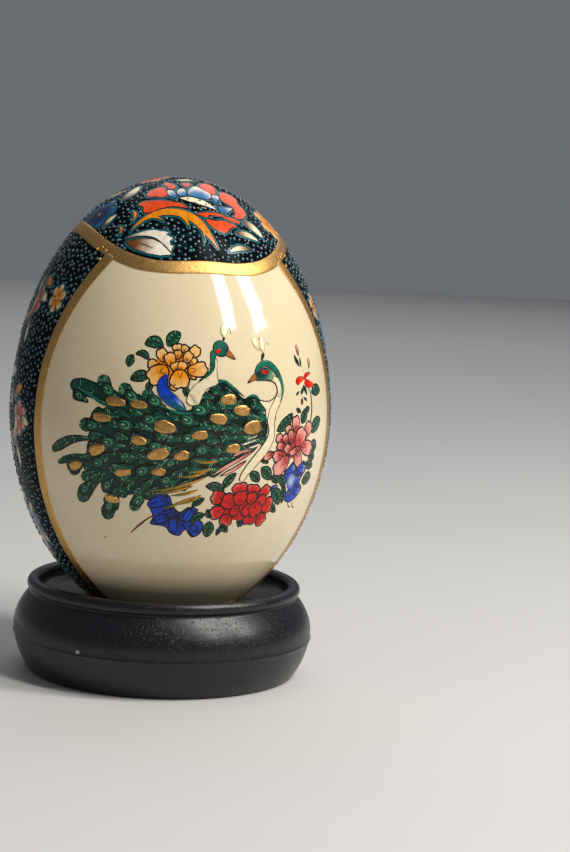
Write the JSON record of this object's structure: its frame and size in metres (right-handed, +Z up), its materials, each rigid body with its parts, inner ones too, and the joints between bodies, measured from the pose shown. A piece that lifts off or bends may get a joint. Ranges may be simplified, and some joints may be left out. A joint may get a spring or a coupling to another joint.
{
  "type": "decorated porcelain egg on stand",
  "caption": "Hollow glazed porcelain egg with enamelled bird panels and gilt borders, resting loose in a dished, turned black wooden stand.",
  "frame": {"origin": "centre of the stand's flat underside", "axes": "+Z up along the axis of the egg and the stand; the middle of the front picture panel faces -Y"},
  "size_m": [0.0534, 0.0534, 0.0828],
  "materials": {
    "glazed_porcelain": "ivory glaze, high gloss",
    "black_lacquer": "satin black lacquer on turned wood",
    "gilding": "burnished gilt, satin",
    "raised_enamel": "raised glossy overglaze enamel",
    "painted_enamel": "flat glossy overglaze enamel in many colours"
  },
  "bodies": {
    "stand": {"stand": "black_lacquer"},
    "egg": {"egg_shell": "glazed_porcelain"}
  },
  "joints": [
    {"name": "egg_lift", "type": "slide", "parent": "stand", "child": "egg", "axis": [0, 0, 1], "range_m": [0, 0.03]}
  ]
}
